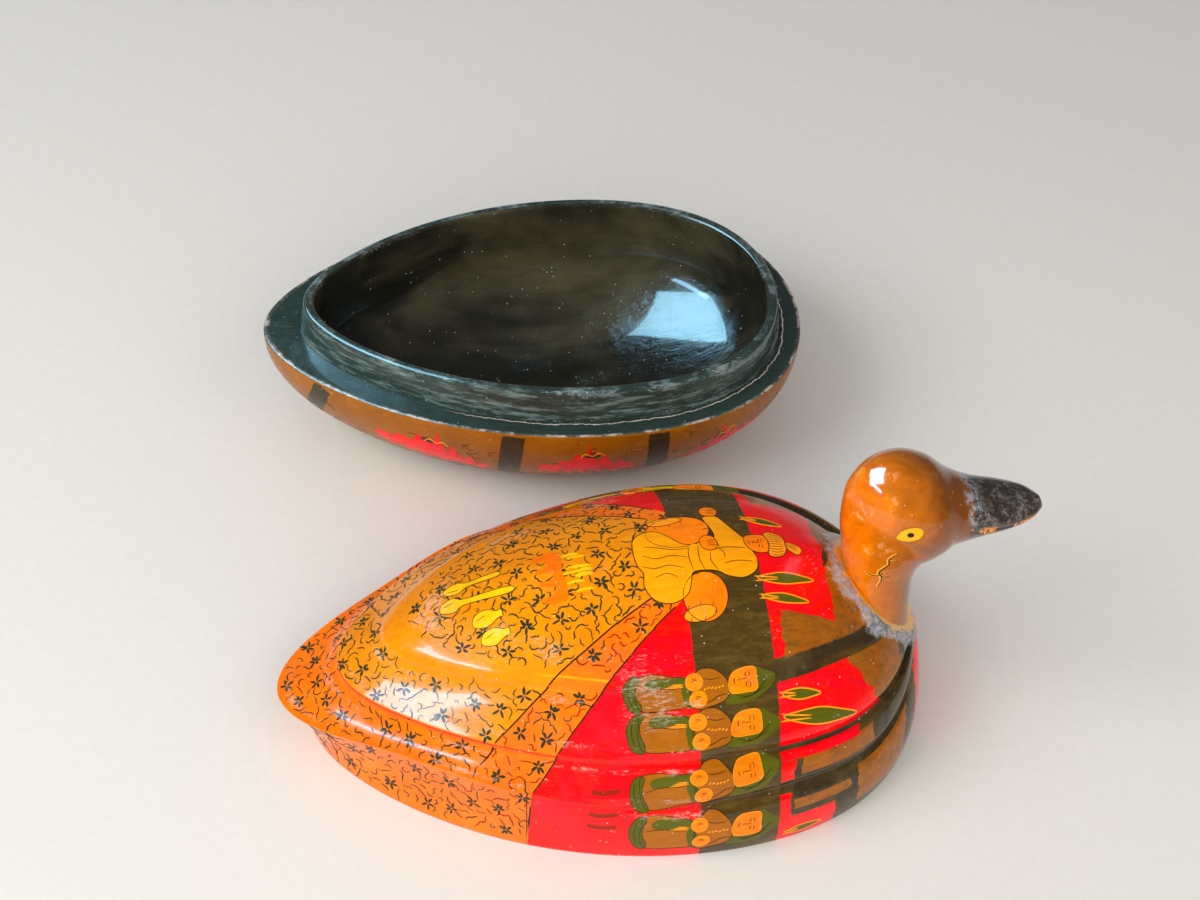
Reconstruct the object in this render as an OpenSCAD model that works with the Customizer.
// Duck-shaped lacquered papier mache box, standing open.
// The lower half is a bowl with a raised inner collar. The upper half is a hollow lid with the head on it.
// Millimetres, +Z up. The origin is the middle of the bowl's flat foot, and +X points where the bill points.

/* [Body outline] */
// Length of both halves along the joint between them
body_l = 180; // [150:1:210]
// Width of both halves at the middle of their length
body_w = 119; // [100:1:135]
// How much fuller the breast is than the tail, as a share of the width
breast_swell = 0.175; // [0.10:0.005:0.22]
// How much more the last stretch draws in towards the tail, as a share of the width
tail_taper = 0.11; // [0.05:0.005:0.15]

/* [Bowl] */
// Height of the flat ledge above the foot
bowl_h = 38; // [32:1:46]
// Length of the flat foot that the bowl stands on
foot_l = 92; // [70:1:110]
// Thickness of the bowl's floor
bowl_floor = 6; // [4:0.5:9]
// Width of the flat ledge outside the collar, at the sides and the breast
ledge_w = 7; // [5:0.25:9]
// Width of the flat ledge at the tail
ledge_tail = 12; // [9:0.5:16]

/* [Collar] */
// Height of the collar above the ledge
collar_h = 10.5; // [6:0.5:14]
// Depth of the rebate that the collar is glued into
collar_sink = 4; // [2:0.5:6]
// Thickness of the collar
collar_wall = 3.5; // [2.5:0.25:4.5]
// How far the collar's top leans in from its foot
collar_draft = 1.8; // [0.5:0.1:2.5]
// Glue line between the collar and the wall of its rebate
glue_gap = 0.1; // [0.05:0.05:0.3]

/* [Lid] */
// Height of the lid's crown above its rim
lid_h = 61; // [52:1:70]
// Place of the crown ahead of the middle of the body
crown_x = 20; // [10:1:28]
// Thickness of the lid at its crown
lid_wall = 5; // [3.5:0.5:7]
// Gap between the lid's inner wall and the foot of the collar
lid_clearance = 0.8; // [0.4:0.1:1.5]
// How far the tail tip reaches out over the rim
tail_reach = 9; // [4:0.5:12]
// Height of the tail tip above the rim
tail_tip_h = 14.5; // [10:0.5:18]

/* [Carving] */
// Rise of the upper wing layer's edge at the tail
upper_step = 1.3; // [0.6:0.1:2]
// Rise of the lower wing layer's edge at the tail
lower_step = 1.5; // [0.6:0.1:2]
// Depth of the upper wing groove at the shoulder
upper_groove = 2; // [0.8:0.1:2.6]
// Depth of the middle wing groove
middle_groove = 1.5; // [0.6:0.1:2.2]
// Depth of the lower wing groove
lower_groove = 1.2; // [0.6:0.1:2]

/* [Head] */
// Height of the head's top above the middle of the neck's seat
head_h = 49.2; // [45:0.2:53]
// Width of the head
head_w = 30.6; // [26:0.2:34]
// Reach of the bill ahead of the middle of the neck's seat
bill_reach = 45; // [41:0.2:50]
// Width of the bill at its root
bill_w = 19.5; // [16:0.5:22]
// Width of the neck at its narrowest
neck_w = 20; // [17:0.5:23]

/* [Neck dowel] */
// Diameter of the wooden dowel
dowel_d = 7; // [5:0.5:9]
// Length of the dowel
dowel_l = 28; // [24:0.5:32]
// How deep the dowel goes below the middle of the neck's seat
dowel_sink = 7.5; // [6:0.5:10]
// Radial gap between the dowel and its holes
dowel_gap = 0.05; // [0.02:0.01:0.1]

/* [Place of the lid] */
// Lid's place across, from the middle of the bowl
lid_x = 12.6; // [-20:0.1:40]
// Room between the two halves where they are widest
lid_room = 13; // [8:0.5:60]
// Turn of the lid against the bowl, in degrees
lid_turn = 1.8; // [-10:0.1:10]

/* [Hidden] */

ochre = [0.62, 0.36, 0.09];
black_lacquer = [0.06, 0.06, 0.06];
orange = [0.85, 0.38, 0.05];
head_orange = [0.88, 0.45, 0.06];
bare_wood = [0.72, 0.56, 0.36];

// Corners round a loop of the body, and round a ring of the head
turns = 72;
ring_turns = 28;

// ---- Curves ------------------------------------------------------------

// Smooth curve through chosen values: stations rise, and the curve is level at both ends.
function station(xs, x, i = 0) = i >= len(xs) - 2 || x <= xs[i + 1] ? i : station(xs, x, i + 1);
function slope(xs, ys, i) =
    i == 0 || i == len(xs) - 1 ? ys[i] * 0 : (ys[i + 1] - ys[i - 1]) / (xs[i + 1] - xs[i - 1]);
function hermite(a, b, ma, mb, s) =
    (2 * pow(s, 3) - 3 * s * s + 1) * a + (pow(s, 3) - 2 * s * s + s) * ma
    + (3 * s * s - 2 * pow(s, 3)) * b + (pow(s, 3) - s * s) * mb;
function curve(xs, ys, x) =
    let (i = station(xs, x), h = xs[i + 1] - xs[i])
    hermite(ys[i], ys[i + 1], h * slope(xs, ys, i), h * slope(xs, ys, i + 1), (x - xs[i]) / h);

// Free curve through points: its ends keep the direction of their last chord.
function free_slope(ps, i) = ps[min(i + 1, len(ps) - 1)] - ps[max(i - 1, 0)];
function free_curve(ps, u) =
    let (i = min(floor(u), len(ps) - 2))
    hermite(ps[i], ps[i + 1], free_slope(ps, i) / 2, free_slope(ps, i + 1) / 2, u - i);

function ease(s) = let (c = max(0, min(1, s))) c * c * (3 - 2 * c);

// ---- Egg outlines ------------------------------------------------------

// A point of an egg outline at angle t, 0 at the breast and 180 at the tail.
function egg(t, half_l, half_w) =
    [half_l * cos(t), half_w * sin(t) * (1 + breast_swell * cos(t) + tail_taper * pow(cos(t), 3))];
function rim(t) = egg(t, body_l / 2, body_w / 2);

// The collar's outline, drawn in by d from the foot of its outer face.
collar_half_l = (body_l - ledge_w - ledge_tail) / 2;
collar_half_w = body_w / 2 - ledge_w;
collar_x = (ledge_tail - ledge_w) / 2;
function collar_line(t, d) = [collar_x, 0] + egg(t, collar_half_l - d, collar_half_w - d);

crown = [crown_x, 0];
function at(p, z) = [p[0], p[1], z];

// ---- Meshes ------------------------------------------------------------

// Faces between row i and row j of a stack of loops with n points each.
function band(i, j, n, first = 0) = [
    for (k = [0:n - 1])
        let (m = (k + 1) % n, a = first + i * n + k, b = first + i * n + m,
             c = first + j * n + m, d = first + j * n + k)
            each [[a, c, b], [a, d, c]]
];
function fan_up(tip, row, n, first = 0) =
    [for (k = [0:n - 1]) [first + row * n + k, tip, first + row * n + (k + 1) % n]];
function fan_down(tip, row, n, first = 0) =
    [for (k = [0:n - 1]) [first + row * n + (k + 1) % n, tip, first + row * n + k]];

// A closed solid from loops that run from one pole to the other.
module skin(rows, n, start, end) {
    count = len(rows);
    points = [for (r = rows) each r, start, end];
    faces = [
        for (i = [0:count - 2]) each band(i, i + 1, n),
        each fan_down(count * n, 0, n),
        each fan_up(count * n + 1, count - 1, n)
    ];
    polyhedron(points = points, faces = faces, convexity = 10);
}

// A closed ring from loops that come back to the first one.
module skin_ring(rows, n) {
    count = len(rows);
    polyhedron(
        points = [for (r = rows) each r],
        faces = [for (i = [0:count - 1]) each band(i, (i + 1) % count, n)],
        convexity = 10
    );
}

angles = [for (k = [0:turns - 1]) 360 * k / turns];

// ---- Bowl --------------------------------------------------------------

// The outside is part of a deeper egg, cut flat where its outline is foot_l long. Its side is an
// ellipse with bowl_round in place of the power 2.
bowl_round = 2.2;
bowl_deep = bowl_h / pow(1 - pow(foot_l / body_l, bowl_round), 1 / bowl_round);
function bowl_out(t, z) =
    at(rim(t) * pow(1 - pow((bowl_h - z) / bowl_deep, bowl_round), 1 / bowl_round), z);

// The hollow runs on flush from the collar's inner face. Its powers make it fuller than an ellipse.
rebate_z = bowl_h - collar_sink;
hollow_deep = rebate_z - bowl_floor;
hollow_side = 0.8;
hollow_end = 0.9;
function bowl_in(t, s) =
    let (p = collar_line(t, collar_wall), c = [collar_x, 0])
    at(c + (p - c) * pow(cos(90 * s), hollow_side), rebate_z - hollow_deep * pow(sin(90 * s), hollow_end));

// Rows of the bowl's outside, as shares of its height, and of its hollow, from mouth to floor
bowl_heights = [0, 0.06, 0.16, 0.3, 0.46, 0.64, 0.82, 0.96, 1];
bowl_depths = [0, 0.12, 0.25, 0.38, 0.51, 0.64, 0.76, 0.87, 0.95];

module bowl_shell() {
    rows = [
        for (h = bowl_heights) [for (t = angles) bowl_out(t, bowl_h * h)],
        [for (t = angles) at(collar_line(t, -glue_gap), bowl_h)],
        [for (t = angles) at(collar_line(t, -glue_gap), rebate_z)],
        for (s = bowl_depths) [for (t = angles) bowl_in(t, s)]
    ];
    color(ochre) skin(rows, turns, [0, 0, 0], [collar_x, 0, bowl_floor]);
}

// ---- Collar ------------------------------------------------------------

// The collar's section, from its foot up the outer face and down the inner one, as [draw-in, height].
// Both top edges are rounded off by edge_r.
edge_r = collar_wall / 4;
edge_in = edge_r * 0.3;
collar_top = bowl_h + collar_h;
collar_section = [
    [0, rebate_z], [0, bowl_h],
    [collar_draft * (1 - edge_r / collar_h), collar_top - edge_r],
    [collar_draft + edge_in, collar_top - edge_in],
    [collar_draft + edge_r, collar_top],
    [collar_draft + collar_wall - edge_r, collar_top],
    [collar_draft + collar_wall - edge_in, collar_top - edge_in],
    [collar_draft + collar_wall, collar_top - edge_r],
    [collar_wall, rebate_z]
];

module collar() {
    rows = [for (p = collar_section) [for (t = angles) at(collar_line(t, p[0]), p[1])]];
    color(black_lacquer) skin_ring(rows, turns);
}

// ---- Lid ---------------------------------------------------------------

// Three lines run round the lid from the shoulder to the tail: the brim line, and the edges of the
// lower and the upper wing layer. Each has its reach from the crown, as a share of the rim's, and its
// height, as a share of the lid's, at these bearings: 0 is the breast and 180 is the tail.
bearings = [0, 15, 40, 70, 100, 140, 160, 180];
rim_reach_tail = body_l / 2 + crown_x;
tip_share = (rim_reach_tail + tail_reach) / rim_reach_tail;
brim_reach = [0.97, 0.96, 0.955, 0.95, 0.955, 0.985, 0.985, tip_share];
brim_height = [0.46, 0.39, 0.30, 0.32, 0.295, 0.36, 0.33, tail_tip_h / lid_h];
lower_reach = [0.965, 0.94, 0.90, 0.867, 0.865, 0.87, 0.89, 0.918];
lower_height = [0.475, 0.45, 0.46, 0.49, 0.51, 0.48, 0.44, 0.385];
upper_reach = [0.94, 0.83, 0.685, 0.64, 0.645, 0.66, 0.725, 0.80];
upper_height = [0.51, 0.61, 0.74, 0.77, 0.745, 0.705, 0.655, 0.56];

// How far the skin swells out between the lines: under 0 it is hollow, like the cove over the brim
wall_swell = [2.2, 2.2, 2, 1.8, 1.4, -0.3, -1.5, -1.5];
cove_swell = [0, 0.3, 1.0, 1.0, 0.6, -0.8, -1.2, -1.2];
layer_swell = [0, 0.5, 1.2, 1.2, 1.0, 0.2, -0.5, -0.6];
// How round the back is over the upper wing layer's edge
back_power = [2.6, 2.4, 2.2, 2.1, 2.0, 2.0, 2.05, 2.15];

// Where along the lines the grooves and the steps show
upper_groove_share = [0.2, 1, 1, 0.7, 0.1, 0, 0, 0];
middle_groove_share = [0.2, 0.9, 1, 1, 0.8, 0, 0, 0];
lower_groove_share = [0.1, 0.5, 1, 1, 0.8, 0, 0, 0];
upper_step_share = [0, 0, 0, 0.05, 0.3, 0.8, 1, 1];
lower_step_share = [0, 0, 0, 0, 0.05, 0.7, 1, 1];

function bearing(p) = atan2(abs(p[1]), p[0] - crown_x);

// Outline of a slice from rim to crown, as [reach, height], at band place v: 0 is the rim, 1 the brim
// line, 2 and 3 the layers' edges, and 4 the crown.
function slice(b, len_rim, v) =
    let (
        reach = [1, curve(bearings, brim_reach, b), curve(bearings, lower_reach, b),
                 curve(bearings, upper_reach, b)] * len_rim,
        height = [0, curve(bearings, brim_height, b), curve(bearings, lower_height, b),
                  curve(bearings, upper_height, b)] * lid_h,
        swell = [curve(bearings, wall_swell, b), curve(bearings, cove_swell, b),
                 curve(bearings, layer_swell, b)],
        k = min(floor(v), 3), s = v - k
    )
    k < 3
        ? let (d = [reach[k + 1] - reach[k], height[k + 1] - height[k]], out = [d[1], -d[0]] / norm(d))
            [reach[k], height[k]] + d * s + out * swell[k] * 4 * s * (1 - s)
        : [reach[3] * (1 - s), lid_h - (lid_h - height[3]) * pow(1 - s, curve(bearings, back_power, b))];

// Rise of the carving over the slice: a groove dips at its line, and a step lifts the layer inside it,
// which sinks back by the next line, like the layers of a folded wing.
groove_width = 0.11;
step_width = 0.05;
function dip(v, line) = exp(-pow((v - line) / groove_width, 2));
function rise(v, line) = ease((v - line) / step_width / 2 + 0.5) * (1 - ease(v - line));
function carving(b, v) =
    curve(bearings, upper_step_share, b) * upper_step * rise(v, 3)
    + curve(bearings, lower_step_share, b) * lower_step * rise(v, 2)
    - curve(bearings, upper_groove_share, b) * upper_groove * dip(v, 3)
    - curve(bearings, middle_groove_share, b) * middle_groove * dip(v, 2)
    - curve(bearings, lower_groove_share, b) * lower_groove * dip(v, 1);

// The neck stands on a flat seat where the back slopes down to the breast. The seat lies seat_cut under
// the skin in its middle, and fades into the skin past the neck's foot like a low mound of filler.
seat_v = 3.127;
seat_cut = 2.4;
seat_out = [1, 0, 1] / sqrt(2);
seat_down = [1, 0, -1] / sqrt(2);
seat_spot = slice(0, body_l / 2 - crown_x, seat_v);
seat = at(crown + [seat_spot[0], 0], seat_spot[1]) - seat_out * seat_cut;
foot_long = 0.78 * neck_w;
foot_wide = 0.675 * neck_w;
flat_share = 1.12;
fade_share = 1.5;
function seated(p) =
    let (
        d = p - seat, over = d * seat_out,
        far = norm([d * seat_down / foot_long, d[1] / foot_wide]),
        keep = ease((far - flat_share) / (fade_share - flat_share))
    )
    p - seat_out * over * (1 - keep);

function lid_out(t, v) =
    let (
        p = rim(t), away = p - crown, len_rim = norm(away), b = bearing(p), e = 0.02,
        here = slice(b, len_rim, v), ahead = slice(b, len_rim, min(v + e, 4)),
        behind = slice(b, len_rim, max(v - e, 0)), d = ahead - behind,
        out = [d[1], -d[0]] / norm(d), q = here + out * carving(b, v)
    )
    seated(at(crown + away / len_rim * q[0], q[1]));

// The lid's hollow: upright over the collar, then a dome that is a little flatter at the tail. With
// more flatness than this the hollow would lean in over the collar's top at the tail.
tail_flat = 0.04;
function lid_in(t, s) =
    let (p = collar_line(t, -lid_clearance), power = 1 + tail_flat * (1 - cos(bearing(p))) / 2)
    at(crown + (p - crown) * pow(cos(90 * s), power), (lid_h - lid_wall) * pow(sin(90 * s), power));

// Rows of the lid's hollow, from its top to the rim, and of its outside, from the rim to the crown
lid_depths = [0.99, 0.92, 0.83, 0.72, 0.6, 0.48, 0.36, 0.24, 0.12, 0];
lid_bands = [
    0, 0.2, 0.4, 0.6, 0.8, 0.92, 1, 1.08, 1.2, 1.4, 1.6, 1.8, 1.92, 2 - step_width, 2, 2 + step_width,
    2.2, 2.4, 2.6, 2.8, 2.92, 3 - step_width, 3, 3 + step_width,
    3.11, 3.17, 3.23, 3.29, 3.36, 3.44, 3.54, 3.65, 3.77, 3.89
];
// Its loops are closer together at the breast, where the neck stands.
lid_angles = [
    for (t = [0:2.5:27.5]) t, for (t = [30:5:330]) t, for (t = [332.5:2.5:357.5]) t
];

// The dowel stands upright, a little behind the seat's middle, and its hole goes through the lid.
dowel_foot = seat - [1.5, 0, dowel_sink];
hole_below = 10;
hole_over = 0.3;
module dowel_hole() {
    translate(dowel_foot - [0, 0, hole_below])
        cylinder(r = dowel_d / 2 + dowel_gap, h = hole_below + dowel_l + hole_over, $fn = 32);
}

module lid_place() {
    translate([lid_x, -body_w - lid_room, 0]) rotate([0, 0, lid_turn]) children();
}

module lid_shell() {
    rows = [
        for (s = lid_depths) [for (t = lid_angles) lid_in(t, s)],
        for (v = lid_bands) [for (t = lid_angles) lid_out(t, v)]
    ];
    color(orange) lid_place() difference() {
        skin(rows, len(lid_angles), [crown_x, 0, lid_h - lid_wall], [crown_x, 0, lid_out(90, 4)[2]]);
        dowel_hole();
    }
}

// ---- Head --------------------------------------------------------------

// The head's outline from the side, from the middle of the seat: over the neck, the head and the bill,
// and back under the chin. It is drawn for a head drawn_h high that reaches drawn_reach forward, and
// stretched to the real sizes. Rings run between the two lines, and each has its half width.
drawn_h = 48.8;
drawn_reach = 45;
drawn_back = [
    [-12.6, 19.4], [-14, 29.3], [-13.2, 39.3], [-7.5, 46.7], [1, 48.8], [9.5, 46.3],
    [16.5, 41.3], [24, 37.3], [33, 34.7], [40, 32.8], [44, 31]
];
drawn_front = [
    [10.4, -1.7], [10.2, 6.3], [11.6, 12.3], [13, 14.9], [14.4, 16.5], [16, 17.7],
    [18.5, 18.5], [24.5, 20.1], [33, 22.9], [40, 25.7], [43.6, 27.9]
];
function to_size(ps) = [for (p = ps) [p[0] * bill_reach / drawn_reach, p[1] * head_h / drawn_h]];
foot_edge = [-foot_long, foot_long] / sqrt(2);
back_line = concat([foot_edge], to_size(drawn_back));
front_line = concat([-foot_edge], to_size(drawn_front));
half_widths = concat(
    [foot_wide],
    [0.53, 0.53] * neck_w,
    [0.415, 0.487, 0.5, 0.461] * head_w,
    [0.582, 0.5, 0.438, 0.315, 0.141] * bill_w
);
// The widest place of a ring rises from its middle, on the neck, to its upper third, on the bill
top_heavy = [0, 0, 0, 0, 0, 0.03, 0.08, 0.16, 0.24, 0.26, 0.26, 0.2];

function head_ring(u) =
    let (
        a = free_curve(back_line, u), c = free_curve(front_line, u), m = (a + c) / 2, h = (a - c) / 2,
        w = free_curve(half_widths, u), k = free_curve(top_heavy, u)
    )
    [for (i = [0:ring_turns - 1])
        let (g = 360 * i / ring_turns, q = m + h * sin(g))
            seat + [q[0], w * cos(g) * (1 + k * sin(g)), q[1]]];

// Rings are a third of a curve's span apart. The first one lies flat on the seat, and the last one
// closes on the bill's tip.
module head() {
    last = len(back_line) - 1;
    rings = 3 * last;
    tip = (back_line[last] + front_line[last]) / 2 + [bill_w / 20, 0];
    rows = [for (i = [0:rings]) head_ring(last * i / rings)];
    color(head_orange) lid_place() difference() {
        skin(rows, ring_turns, seat, seat + [tip[0], 0, tip[1]]);
        dowel_hole();
    }
}

// ---- Neck dowel --------------------------------------------------------

module neck_dowel() {
    color(bare_wood) lid_place() translate(dowel_foot) cylinder(d = dowel_d, h = dowel_l, $fn = 32);
}

bowl_shell();
collar();
lid_shell();
head();
neck_dowel();
